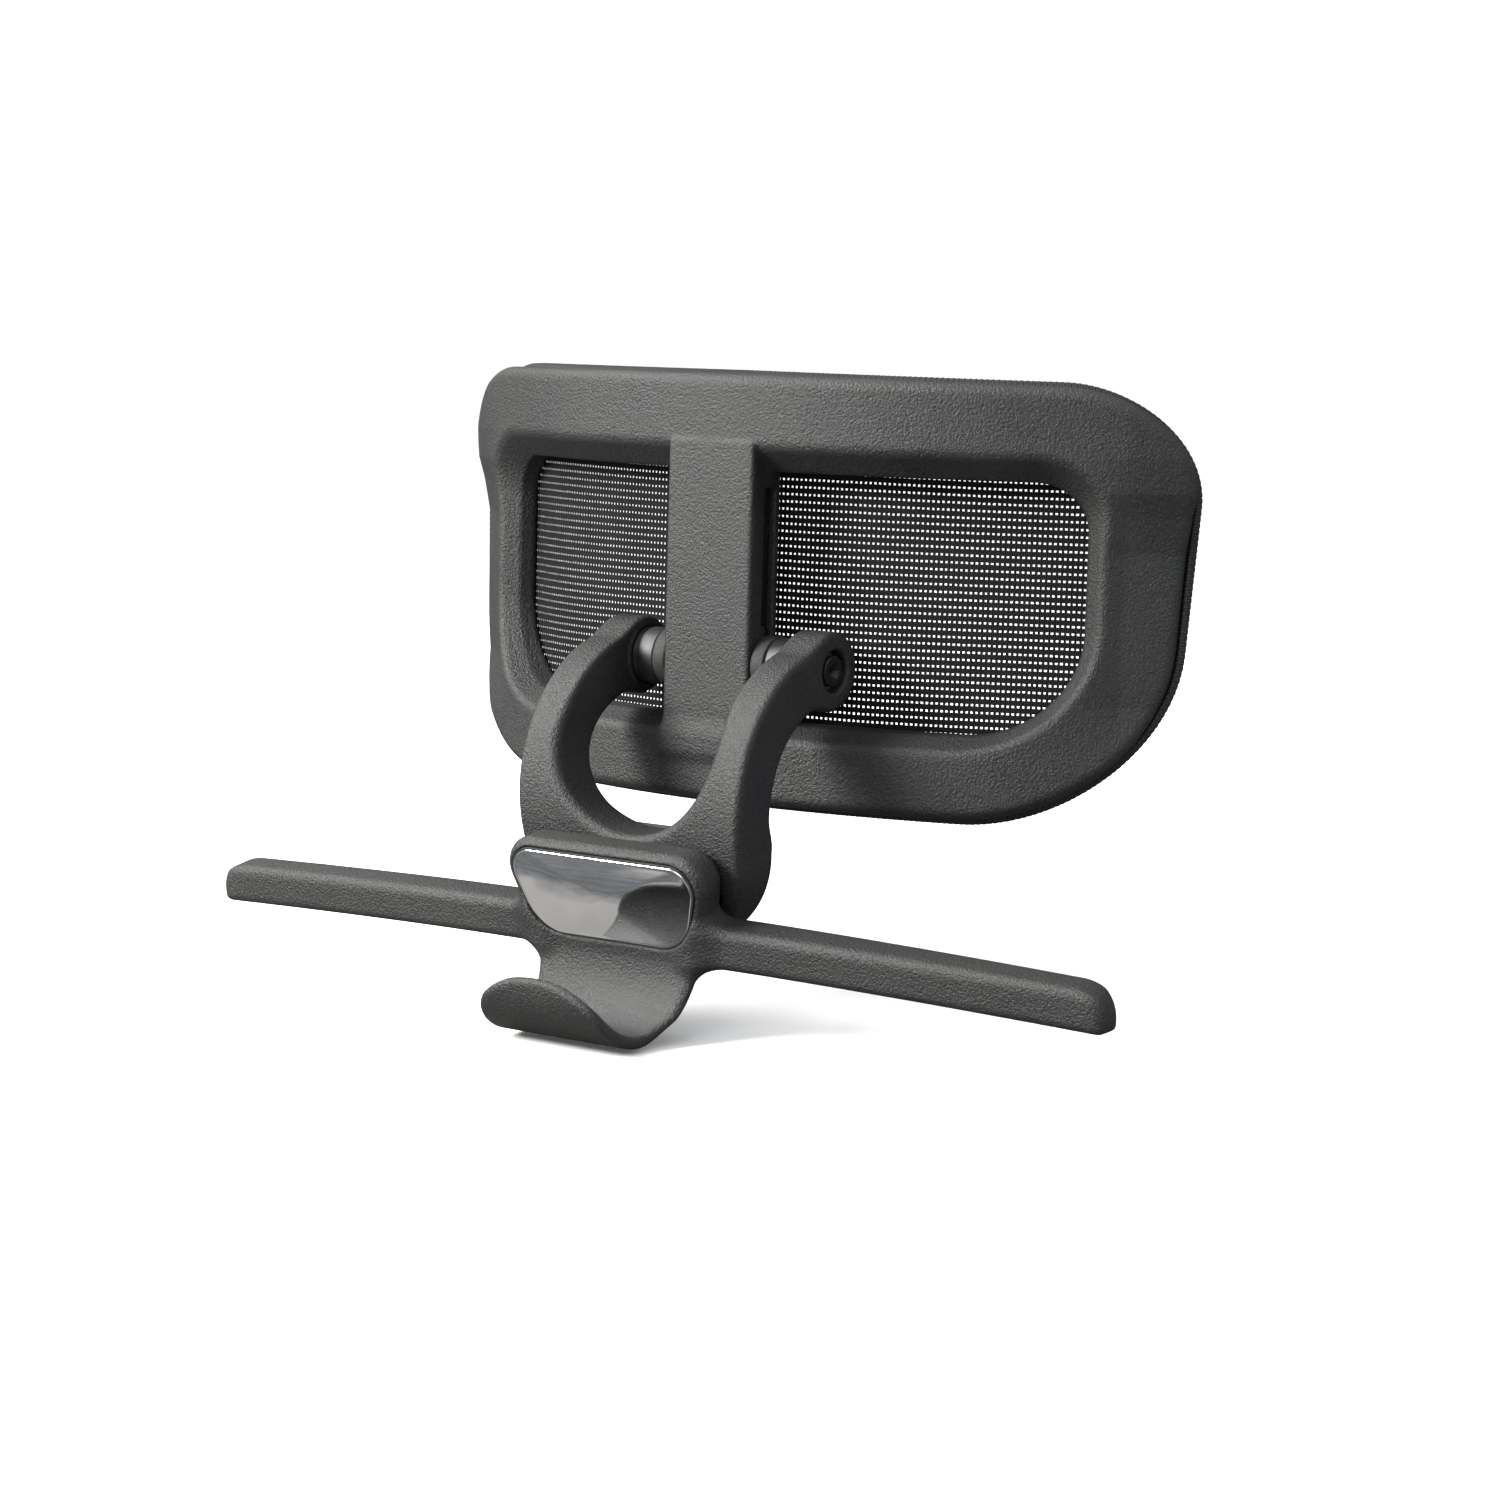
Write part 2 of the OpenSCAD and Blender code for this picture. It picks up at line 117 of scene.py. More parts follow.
def polygon(u, v, pts):
    """Distance to a closed polygon, negative inside it."""
    u, v = np.broadcast_arrays(u, v)
    near = np.full(u.shape, np.inf)
    inside = np.zeros(u.shape, bool)
    for (ax, ay), (bx, by) in zip(pts, np.roll(pts, 1, axis=0)):
        ex, ey = bx - ax, by - ay
        wx, wy = u - ax, v - ay
        t = np.clip((wx * ex + wy * ey) / (ex * ex + ey * ey), 0.0, 1.0)
        near = np.minimum(near, (wx - ex * t) ** 2 + (wy - ey * t) ** 2)
        if ay != by:
            inside ^= ((ay > v) != (by > v)) & (wx < ex * wy / ey)
    return np.where(inside, -1.0, 1.0) * np.sqrt(near)


def hull(circles, n=72):
    """Outline round circles (u, v, r) as an anticlockwise polygon."""
    turn = np.linspace(0, 2 * math.pi, n, endpoint=False)
    rounds = [np.stack([u + r * np.cos(turn), v + r * np.sin(turn)], 1) for u, v, r in circles]
    pts = np.concatenate(rounds)
    pts = pts[np.lexsort((pts[:, 1], pts[:, 0]))]
    ends = []
    for run in (pts, pts[::-1]):
        chain = []
        for p in run:
            while len(chain) > 1:
                a, b = chain[-2], chain[-1]
                if (b[0] - a[0]) * (p[1] - a[1]) - (b[1] - a[1]) * (p[0] - a[0]) > 1e-6:
                    break
                chain.pop()
            chain.append(p)
        ends += chain[:-1]
    return np.array(ends)


def outward(loop, reach=1):
    """Unit normals of a closed anticlockwise loop, from the points reach steps away."""
    along = np.roll(loop, -reach, 0) - np.roll(loop, reach, 0)
    along /= np.linalg.norm(along, axis=1)[:, None]
    return np.stack([along[:, 1], -along[:, 0]], 1)


def spaced(pts, step):
    """The closed polygon's points again, evenly spaced about step apart."""
    loop = np.vstack([pts, pts[:1]])
    run = np.concatenate([[0], np.cumsum(np.linalg.norm(np.diff(loop, axis=0), axis=1))])
    at = np.linspace(0, run[-1], int(round(run[-1] / step)), endpoint=False)
    return np.stack([np.interp(at, run, loop[:, k]) for k in (0, 1)], 1)


# ---- meshes ----
def skin(field, low, high, step):
    """Closed quad mesh of the surface where field is zero, by surface nets."""
    low, step = np.array(low, float), np.array(step, float)
    axes = [np.arange(a, b + s, s) for a, b, s in zip(low, high, step)]
    grid = field(axes[0][:, None, None], axes[1][None, :, None], axes[2][None, None, :])
    grid = np.ascontiguousarray(np.broadcast_to(grid, [len(a) for a in axes]))
    inside = grid < 0
    n = [k - 1 for k in grid.shape]
    corners = [(i, j, k) for i in (0, 1) for j in (0, 1) for k in (0, 1)]
    count = sum(inside[i:i + n[0], j:j + n[1], k:k + n[2]].astype(np.int8) for i, j, k in corners)
    active = (count > 0) & (count < 8)
    cells = np.argwhere(active)
    number = np.full(active.shape, -1, np.int64)
    number[active] = np.arange(len(cells))
    value = {c: grid[tuple((cells + c).T)] for c in corners}
    total, hits = np.zeros((len(cells), 3)), np.zeros(len(cells))
    for a in corners:
        for axis in range(3):
            if a[axis]:
                continue
            b = tuple(v + (k == axis) for k, v in enumerate(a))
            cross = (value[a] < 0) != (value[b] < 0)
            share = np.where(cross, value[a] / np.where(cross, value[a] - value[b], 1.0), 0.0)
            point = np.tile(np.array(a, float), (len(cells), 1))
            point[:, axis] += share
            total += point * cross[:, None]
            hits += cross
    pts = low + (cells + total / hits[:, None]) * step
    start = pts.copy()
    reach = 0.6 * step.min()
    for _ in range(3):
        here = field(*pts.T)
        slope = np.stack([(field(*(pts + e).T) - here) / 0.02 for e in 0.02 * np.eye(3)], 1)
        move = -(here / np.maximum((slope ** 2).sum(1), 0.2))[:, None] * slope
        pts = start + np.clip(pts + move - start, -reach, reach)
    faces = []
    for axis in range(3):
        u, v = (axis + 1) % 3, (axis + 2) % 3
        first = np.take(inside, range(0, n[axis]), axis)
        second = np.take(inside, range(1, n[axis] + 1), axis)
        edges = np.argwhere(first != second)
        at_u, at_v = edges[:, u], edges[:, v]
        edges = edges[(at_u > 0) & (at_u < n[u]) & (at_v > 0) & (at_v < n[v])]
        back_u, back_v = -np.eye(3, dtype=int)[u], -np.eye(3, dtype=int)[v]
        around = (back_u + back_v, back_v, 0 * back_u, back_u)
        quad = np.stack([number[tuple((edges + d).T)] for d in around], 1)
        out = first[tuple(edges.T)]
        faces.append(np.where(out[:, None], quad, quad[:, ::-1]))
    return pts, np.concatenate(faces)


def piece(name, pts, faces, material, body, replaces=(), slot=None, smooth=True):
    """A mesh object from points in millimetres, riding on its body."""
    mesh = bpy.data.meshes.new(name)
    faces = faces.tolist() if isinstance(faces, np.ndarray) else faces
    mesh.from_pydata((np.asarray(pts) * MM).tolist(), [], faces)
    mesh.validate()
    mesh.polygons.foreach_set("use_smooth", [smooth] * len(mesh.polygons))
    mesh.materials.append(material)
    obj = bpy.data.objects.new(name, mesh)
    bpy.context.scene.collection.objects.link(obj)
    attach(obj, body)
    if replaces:
        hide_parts(*replaces)
    return obj


def leaned(pts):
    """From the headrest's own frame to the part's frame."""
    x, y, z = np.asarray(pts, float).T
    c, s = math.cos(LEAN), math.sin(LEAN)
    return np.stack([x, AXLE_Y + y * c - z * s, AXLE_Z + y * s + z * c], 1)


def hub_v(y, z):
    """Distance behind the yoke's sloping rear face."""
    return (y - HUB_Y) * math.cos(TILT) - z * math.sin(TILT)


def hub_w(y, z):
    """Distance up the yoke's sloping rear face."""
    return (y - HUB_Y) * math.sin(TILT) + z * math.cos(TILT)


def tilted(part):
    """A part given in x, v and w, stood on the yoke's sloping rear face."""
    x, v, w = np.asarray(part[0], float).T
    c, s = math.cos(TILT), math.sin(TILT)
    return np.stack([x, HUB_Y + v * c + w * s, w * c - v * s], 1), part[1]


def from_bow(pts):
    """From arc, depth and height on the rear bow to the headrest's frame."""
    s, p, z = np.asarray(pts, float).T
    turn = s / REAR_R
    return np.stack([(REAR_R + p) * np.sin(turn), REAR_CY + (REAR_R + p) * np.cos(turn), z], 1)


def on_arc(pts):
    """A polygon given in x and z, with x laid out along the rear bow."""
    return np.stack([REAR_R * np.arcsin(pts[:, 0] / REAR_R), pts[:, 1]], 1)


# ---- outlines, each round circles (u, v, r) on both sides of the middle ----
def both_sides(*circles):
    return [(side * u, v, r) for u, v, r in circles for side in (-1, 1)]


MOUTH_TOP_R, MOUTH_LOW_R = 22, 45
head_edge = on_arc(hull(both_sides((119, 61.5, 38), (90.5, 14, 64)) + [(0, 62, 38)], 96))
mouth_edge = on_arc(hull(both_sides((WINDOW_HALF - MOUTH_TOP_R, WINDOW_TOP - MOUTH_TOP_R, MOUTH_TOP_R),
                                    (WINDOW_HALF - MOUTH_LOW_R, WINDOW_LOW + MOUTH_LOW_R, MOUTH_LOW_R))))
throat_edge = on_arc(hull(both_sides((111.5, 50.0, 16.5), (92, 16, 36))))
badge_edge = hull(both_sides((29.2, 7.8, 8.5), (19.9, 1.1, 15.2)), 96)
hub_edge = hull(both_sides((30.1, 7.9, 11.5), (22, -30.6, 10)))


# ---- headrest frame ----
def head_field(s, p, z):
    turn = s / REAR_R
    x = (REAR_R + p) * np.sin(turn)
    y = REAR_CY + (REAR_R + p) * np.cos(turn)
    rim = polygon(s, z, head_edge)
    front = FRONT_R - np.sqrt(x * x + (y - FRONT_CY) ** 2)
    aside = np.maximum(np.clip((np.abs(s) - 60) / 60, 0.0, 1.0), np.clip((50 - z) / 30, 0.0, 1.0))
    aside = aside * (1 - 0.8 * np.clip((z - 58) / 16, 0.0, 1.0))
    beside = np.clip((np.abs(s) - 112) / 36, 0.0, 1.0) ** 1.5
    waist = np.clip((z + 30) / 22, 0.0, 1.0) * np.clip((64 - z) / 20, 0.0, 1.0)
    swell = 3.6 * waist - 1.8 * np.clip((z - 56) / 20, 0.0, 1.0)
    ring = both(rim + 0.3 + (FRAME_IN - 0.3) * aside, p + swell * beside, 4.0)
    ring = both(ring, front, 1.2)
    ring = without(ring, both(-(rim + FRAME_IN), -(front + 8.4)), 0.4)
    deep = np.clip(-p / BEVEL_DEEP, 0.0, 1.0)
    mouth = polygon(s, z, mouth_edge) * (1 - deep) + polygon(s, z, throat_edge) * deep
    ring = without(ring, mouth * 0.8, 1.8)
    rear = SPINE_REAR - 0.9 * np.clip((-16 - z) / 14, 0.0, 1.0)
    spine = both(np.abs(x) - SPINE_HALF, np.maximum(y - rear, SPINE_FRONT - y), 1.3)
    spine = both(spine, slab(z, SPINE_LOW, SPINE_TOP), 1.0)
    low = np.clip((6 - z) / 20, 0.0, 1.0)
    body = either(ring, spine, 0.5 + 5.5 * low)
    rail = both(np.abs(x) - RAIL_HALF, slab(y, -30, RAIL_REAR), 0.3)
    body = without(body, both(rail, slab(z, RAIL_LOW, RAIL_TOP), 0.3), 0.4)
    slot = rect(y, z, -SLOT_HALF, SLOT_HALF, SLOT_LOW, SLOT_TOP, 1.0)
    body = without(body, both(slot, np.abs(x) - 30), 0.6)
    pocket = both(np.abs(x) - COVER_HALF - 0.6, y - SPINE_FRONT)
    pocket = both(pocket, slab(z, COVER_LOW - 0.3, COVER_TOP + 0.3))
    body = without(body, pocket, 0.3)
    band = both(rim + 7, -(rim + 10.5))
    groove = both(band, -(front + 3.5), 0.0)
    return without(body, groove, 0.3)


# ---- yoke ----
def yoke_outline(x, z):
    wide = np.abs(x)
    round_foot = np.where(wide > FOOT_X, disc(wide, z, FOOT_X, FOOT_Z, FOOT_R), FOOT_Z - FOOT_R - z)
    return np.where(z > FOOT_Z, wide - YOKE_HALF + np.clip((40 - z) / 28, 0.0, 1.0) ** 2, round_foot)


def yoke_field(x, y, z):
    wide = np.abs(x)
    v, w = hub_v(y, z), hub_w(y, z)
    back = np.where(w > TANGENT_W, disc(y, z, ARM_Y, ARM_Z, ARM_REAR_R), v)
    rise = np.clip((z - 14) / (ARM_Z - 14), 0.0, 1.0)
    ahead = PAD_THICK + (ARM_Y + ARM_AHEAD_R - PAD_THICK) * rise * rise * (3 - 2 * rise) - y
    ahead = np.where(z > ARM_Z, -disc(y, z, ARM_Y, ARM_Z, ARM_AHEAD_R), ahead)
    side = both(both(back, ahead, 1.5), -20 - z, 3.0)
    side = np.maximum(side, np.where(z > ARM_Z, ARM_Y - y, -60.0))
    side = either(side, disc(y, z, AXLE_Y, AXLE_Z, BOSS_R), 5.0)
    mouth = np.where(z < THROAT_Z, disc(x, z, 0, THROAT_Z, THROAT_HALF), wide - THROAT_HALF)
    soft = 3.6 - 2.0 * np.clip((z - 52) / 12, 0.0, 1.0)
    body = both(side, yoke_outline(x, z), 2.2)
    body = without(body, mouth, soft)
    rim = both(slab(wide, 32.2, 34), np.abs(disc(y, z, AXLE_Y, AXLE_Z, 11.0)) - 0.6, 0.4)
    body = either(body, rim, 0.3)
    body = without(body, disc(y, z, AXLE_Y, AXLE_Z, 5.0), 0.3)
    sink = both(disc(y, z, AXLE_Y, AXLE_Z, SINK_R), SINK_X - wide)
    body = without(body, sink, 0.7)
    studs = disc(wide, z, STUD_X, 0, STUD_R)
    seat = both(disc(wide, z, STUD_X, 0, STUD_SEAT_R), 9.3 - y)
    body = without(body, either(studs, seat), 0.4)
    inserts = both(disc(wide, w, HUB_SCREW_X, HUB_SCREW_W, 4.0), -10 - v)
    return without(body, inserts, 0.3)


# ---- coat hanger ----
arm_core = np.array([[17.4, -10.6], [25.6, -12.9], [24.5, -20.9], [18.2, -20.9]])
ARM_TOP, ARM_LOW = -6.4, -25.6


def hanger_field(x, y, z):
    wide = np.abs(x)
    v, w = hub_v(y, z), hub_w(y, z)
    plate = both(slab(v, HUB_FRONT, HUB_REAR), -22 - w, 4.0)
    curl = np.abs(disc(v, w, HOOK_V, HOOK_W, HOOK_R + HOOK_T / 2)) - HOOK_T / 2
    turned = np.where(v < HOOK_V, w - HOOK_W - 1, z + 22.6)
    side = either(plate, both(curl, turned, 2.4), 1.0)
    lip = both(disc(x, z, 0, -58, 35), wide - 28.5, 7.0)
    mix = np.clip((v - HOOK_V + 9) / 16, 0.0, 1.0)
    outline = polygon(x, w, hub_edge) * (1 - mix) + lip * mix
    outline = outline + 0.16 * np.maximum(12 - v, 0.0)
    hub = both(side, outline, 4.4 - 1.9 * mix)
    along = np.clip((wide - 43) / (ARM_END - 43), 0.0, 1.0)
    across = (y - 13.4) / (1 - 0.24 * along) + 13.4
    up = (z + 3.4 * along ** 1.6 + 15.7) / (1 - 0.02 * along) - 15.7
    arm = polygon(across, up, arm_core) - 4.2
    end = np.maximum(both(wide - ARM_END, up - ARM_TOP, 13.0), both(wide - ARM_END, ARM_LOW - up, 4.0))
    arm = both(arm, end, 5.0)
    arm = both(arm, 30 - wide, 2.0)
    body = either(hub, arm, 9.0)
    clear = np.maximum(yoke_outline(x, z) - 1.4, v - HUB_FRONT)
    body = without(body, clear, 0.8)
    pocket = both(polygon(x, w, badge_edge) - 0.6, slab(v, 14.6, 26))
    body = without(body, pocket, 0.8)
    shank = disc(wide, w, HUB_SCREW_X, HUB_SCREW_W, 2.7)
    hole = either(shank, both(shank - 2.3, 5.7 - v))
    return without(body, both(hole, v - 26), 0.2)


# ---- turned parts ----
def lathe(rings, turns=96, closed=False):
    """Points and faces of a part turned about x.

    A ring is (x, radius), or with a third value of 1 a hexagon of that radius across its
    flats, or (x, radius, 0, depth, pitch) for a thread's helical groove.
    """
    angle = np.linspace(0, 2 * math.pi, turns, endpoint=False)
    six = math.cos(math.pi / 6) / np.cos(np.mod(angle, math.pi / 3) - math.pi / 6)
    pts, faces = [], []
    for x, r, *kind in rings:
        radius = r * (six if kind and kind[0] else np.ones(turns))
        if len(kind) > 1:
            depth, pitch = kind[1:]
            radius = radius - depth * (0.5 + 0.5 * np.cos(2 * math.pi * x / pitch - angle))
        ring = [np.full(turns, float(x)), radius * np.cos(angle), radius * np.sin(angle)]
        pts.append(np.stack(ring, 1))
    count = len(rings)
    for k in range(count if closed else count - 1):
        a, b = k * turns, (k + 1) % count * turns
        for i in range(turns):
            j = (i + 1) % turns
            faces.append((a + i, a + j, b + j, b + i))
    pts = np.concatenate(pts)
    if not closed:
        for k, order in ((0, -1), (count - 1, 1)):
            ring = [k * turns + i for i in range(turns)]
            centre = len(pts)
            pts = np.vstack([pts, pts[ring].mean(0)])
            faces += [(centre, ring[(i + 1) % turns], ring[i])[::order] for i in range(turns)]
    faces = [f[::-1] for f in faces]
    return pts, faces


def fillet(corners, r, closed=False, k=4):
    """The profile's corners rounded to radius r, or less where an edge is short."""
    corners = [np.array(c, float) for c in corners]
    out = []
    for i, c in enumerate(corners):
        if not closed and i in (0, len(corners) - 1):
            out.append(tuple(c))
            continue
        a, b = corners[i - 1] - c, corners[(i + 1) % len(corners)] - c
        la, lb = np.linalg.norm(a), np.linalg.norm(b)
        cut = min(r, 0.45 * la, 0.45 * lb)
        p, q = c + a / la * cut, c + b / lb * cut
        for t in np.linspace(0, 1, k):
            out.append(tuple(p * (1 - t) ** 2 + 2 * c * t * (1 - t) + q * t ** 2))
    return out


def joined(*parts):
    """Several (points, faces) as one."""
    pts, faces = [], []
    for p, f in parts:
        shift = sum(len(q) for q in pts)
        pts.append(np.asarray(p))
        faces += [tuple(int(i) + shift for i in face) for face in f]
    return np.concatenate(pts), faces


def mirrored(part):
    pts, faces = part
    return np.asarray(pts) * (-1, 1, 1), [tuple(f)[::-1] for f in faces]


def swung(part):
    """A part turned about x, laid along y with its +x end to +y."""
    pts, faces = part
    x, y, z = np.asarray(pts).T
    return np.stack([-y, x, z], 1), faces


def moved(part, x=0.0, y=0.0, z=0.0):
    return np.asarray(part[0]) + (x, y, z), part[1]


def ring_part(r_out, r_in, x0, x1, soft=0.5):
    profile = [(x0, r_in), (x0, r_out), (x1, r_out), (x1, r_in)]
    return lathe(fillet(profile, soft, closed=True), closed=True)


def cap_screw(r, x0, x1, socket_r, socket_deep, soft=0.6, tail=()):
    """Socket screw with its head between x0 and x1; tail is the shank's rings from its tip."""
    neck = tail[-1][1] if tail else 0.01
    head = fillet([(x0, neck), (x0, r), (x1, r), (x1, socket_r + 0.35)], soft, k=5)
    floor_x = x1 - socket_deep
    pit = [(x1 - 0.25, socket_r, 1), (floor_x, socket_r * 0.98, 1), (floor_x - 0.5, 0.3, 1)]
    return lathe(list(tail) + head + pit)


def thread(x0, x1, r, pitch=1.0, depth=0.55):
    """Rings of a threaded shank, with a chamfered tip at x0."""
    rows = [(x, r, 0, depth, pitch) for x in np.arange(x0 + 0.8, x1, pitch / 8)]
    return [(x0, r - 1.1), (x0 + 0.5, r - 0.6)] + rows + [(x1, r - 0.05)]


# ---- fabric ----
def tube_faces(n, k):
    """Quads of a section of k points carried round a closed path of n stations."""
    i, j = np.meshgrid(np.arange(n), np.arange(k), indexing="ij")
    here, ahead = i * k, (i + 1) % n * k
    return np.stack([here + j, here + (j + 1) % k, ahead + (j + 1) % k, ahead + j], 2).reshape(-1, 4)


def front_depth(s):
    """Depth below the rear bow of the front face, at arc s of the rear bow."""
    c = np.cos(s / REAR_R)
    d = REAR_CY - FRONT_CY
    return -d * c + np.sqrt(d * d * c * c - d * d + FRONT_R ** 2) - REAR_R


def cloth_mesh(pitch_u=1.77, pitch_z=2.55, hole_u=0.86, hole_z=0.70, thick=0.28):
    """Perforated sheet on the front bow: rows of slots with threads between them."""
    nu, nz = 192, 58
    rng = np.random.default_rng(7)
    u0 = (np.arange(nu) - nu / 2) * pitch_u
    z0 = 25.0 + (np.arange(nz) - nz / 2) * pitch_z
    u = np.stack([u0, u0 + hole_u], 1).ravel()
    z = np.stack([z0, z0 + hole_z], 1).ravel()
    uu, zz = np.meshgrid(u, z, indexing="ij")
    uu = uu + rng.normal(0, 0.05, uu.shape)
    zz = zz + rng.normal(0, 0.035, zz.shape) + 0.35 * np.sin(uu / 23.0) * np.cos(zz / 31.0)
    turn = uu / FRONT_R
    layers = []
    for r in (FRONT_R - 0.05, FRONT_R - 0.05 - thick):
        layers.append(np.stack([r * np.sin(turn), FRONT_CY + r * np.cos(turn), zz], 2))
    mid = (layers[0][:-1, :-1] + layers[0][1:, 1:]) / 2
    arc = REAR_R * np.arctan2(mid[..., 0], mid[..., 1] - REAR_CY)
    away = polygon(arc, mid[..., 2], head_edge)
    i, j = np.meshgrid(np.arange(len(u) - 1), np.arange(len(z) - 1), indexing="ij")
    full = away < -1.3
    full &= ~((i % 2 == 0) & (j % 2 == 0) & (away < -4.2))
    index = np.arange(len(u) * len(z)).reshape(len(u), len(z))
    quad = np.stack([index[:-1, :-1], index[1:, :-1], index[1:, 1:], index[:-1, 1:]], 2)
    back = len(u) * len(z)
    faces = [quad[full][:, ::-1], quad[full] + back]
    wide = np.pad(full, 1)
    for di, dj, a, b in ((-1, 0, 0, 3), (1, 0, 2, 1), (0, -1, 1, 0), (0, 1, 3, 2)):
        beside = wide[1 + di:wide.shape[0] - 1 + di, 1 + dj:wide.shape[1] - 1 + dj]
        open_side = full & ~beside
        pa, pb = quad[open_side][:, a], quad[open_side][:, b]
        faces.append(np.stack([pa, pb, pb + back, pa + back], 1))
    faces = np.concatenate(faces)
    used, faces = np.unique(faces, return_inverse=True)
    pts = np.stack(layers).reshape(-1, 3)[used]
    return pts, faces.reshape(-1, 4), np.stack([uu.ravel(), zz.ravel()], 1)[used % back]


def welt_mesh(step=0.55):
    """Knitted edge strip: wraps the cloth round the rim of the frame."""
    path = spaced(head_edge, step)
    count = len(path)
    normal = outward(path, 2)
    seat = -FRAME_IN + 0.1
    section = [(-5.0, 0.72), (-5.0, 1.2), (-1.6, 1.5), (0.1, 0.9), (0.7, -1.2), (0.6, -6.4), (-0.6, -7.8),
               (seat, -8.0), (seat, 0.6)]
    section = np.array(fillet(section, 0.6, closed=True, k=3))
    out = -outward(section)
    around = np.concatenate([[0], np.cumsum(np.linalg.norm(np.diff(section, axis=0), axis=1))])
    stitch_mm, stitch_deep = 2.1, 0.17
    along = np.arange(count) * (2 * math.pi * round(count * step / stitch_mm) / count)
    stitch = stitch_deep * np.sin(along[:, None] + 2.4 * around[None, :]) * np.cos(2.6 * around[None, :])
    n = section[None, :, 0] + stitch * out[None, :, 0]
    f = section[None, :, 1] + stitch * out[None, :, 1]
    s = path[:, None, 0] + normal[:, None, 0] * n
    z = path[:, None, 1] + normal[:, None, 1] * n
    pts = from_bow(np.stack([s.ravel(), (front_depth(s) - f).ravel(), z.ravel()], 1))
    uv = np.stack(np.broadcast_arrays(np.arange(count)[:, None] * step, around[None, :]), 2)
    return pts, tube_faces(count, len(section)), uv.reshape(-1, 2)


# ---- materials ----
class Nodes:
    """A material's node tree, with short calls for the nodes used here."""

    def __init__(self, name):
        self.material = bpy.data.materials.new(name)
        self.material.use_nodes = True
        self.tree = self.material.node_tree
        self.shader = self.tree.nodes["Principled BSDF"]
        self.place = self.tree.nodes.new("ShaderNodeTexCoord").outputs["Object"]

    def add(self, kind, inputs=(), **settings):
        node = self.tree.nodes.new(kind)
        for key, value in settings.items():
            setattr(node, key, value)
        for key, value in dict(inputs).items():
            if isinstance(value, bpy.types.NodeSocket):
                self.tree.links.new(value, node.inputs[key])
            else:
                node.inputs[key].default_value = value
        return node

    def noise(self, per_mm, detail=2.0, rough=0.5, place=None):
        inputs = {"Vector": place or self.place, "Scale": per_mm / MM}
        inputs.update({"Detail": detail, "Roughness": rough})
        return self.add("ShaderNodeTexNoise", inputs).outputs["Fac"]

    def cells(self, per_mm, feature="F1"):
        inputs = {"Vector": self.place, "Scale": per_mm / MM}
        return self.add("ShaderNodeTexVoronoi", inputs, feature=feature).outputs["Distance"]

    def ramp(self, value, low, high, start, end):
        inputs = {"Value": value, "From Min": low, "From Max": high, "To Min": start, "To Max": end}
        return self.add("ShaderNodeMapRange", inputs).outputs["Result"]

    def maths(self, operation, a, b):
        return self.add("ShaderNodeMath", {0: a, 1: b}, operation=operation).outputs[0]

    def tint(self, share, dark, light):
        node = self.add("ShaderNodeMix", {"Factor": share}, data_type="RGBA")
        node.inputs["A"].default_value = (*dark, 1)
        node.inputs["B"].default_value = (*light, 1)
        return node.outputs["Result"]

    def blend(self, share, a, b):
        node = self.add("ShaderNodeMix", {"Factor": share, "A": a, "B": b}, data_type="RGBA")
        return node.outputs["Result"]

    def convex_edges(self, low=0.52, high=0.62):
        """1 along convex edges, 0 elsewhere."""
        edge = self.add("ShaderNodeNewGeometry").outputs["Pointiness"]
        return self.ramp(edge, low, high, 0.0, 1.0)

    def bump(self, height, depth_mm, strength=1.0, onto=None):
        inputs = {"Height": height, "Distance": depth_mm * MM, "Strength": strength}
        if onto is not None:
            inputs["Normal"] = onto
        return self.add("ShaderNodeBump", inputs).outputs["Normal"]

    def finish(self, colour, rough, normal=None, **fixed):
        links = {"Base Color": colour, "Roughness": rough, "Normal": normal}
        for key, value in links.items():
            if value is not None:
                self.tree.links.new(value, self.shader.inputs[key])
        for key, value in fixed.items():
            self.shader.inputs[key.replace("_", " ")].default_value = value
        return self.material


def lighter(colour, times):
    return tuple(times * c for c in colour)


def grained_plastic(name, dark, light, rough=(0.40, 0.56), grain=1.1, deep=0.44):
    """Moulded plastic with an eroded pebble grain, with painted highlight: a paler colour on the grain's
    crowns and along convex edges.
    """
    n = Nodes(name)
    pebble = n.ramp(n.cells(grain, "SMOOTH_F1"), 0.1, 0.75, 1.0, 0.0)
    coarse = n.noise(grain * 1.7, 3.0, 0.6)
    fine = n.noise(grain * 5.0, 2.0)
    patch = n.noise(0.03, 3.0, 0.6)
    height = n.maths("ADD", n.maths("MULTIPLY", pebble, 0.45), coarse)
    colour = n.tint(n.ramp(patch, 0.35, 0.65, 0.0, 1.0), dark, light)
    # painted highlight: the grain's crowns are given a paler colour, standing in for light glinting on
    # them
    crown = n.ramp(height, 0.55, 1.05, 0.0, 0.8)
    colour = n.blend(crown, colour, n.tint(0.5, light, lighter(light, 1.9)))
    # painted highlight: convex edges are given a paler colour, standing in for light catching them
    edge_highlight = n.maths("MULTIPLY", n.convex_edges(), 0.30)
    colour = n.blend(edge_highlight, colour, n.tint(0.5, light, lighter(light, 2.4)))
    uneven = n.maths("ADD", coarse, n.maths("MULTIPLY", patch, 0.5))
    gloss = n.ramp(uneven, 0.5, 1.0, rough[0], rough[1])
    normal = n.bump(fine, deep * 0.2, 0.6, n.bump(height, deep, 1.0))
    return n.finish(colour, gloss, normal, Specular_IOR_Level=0.5)


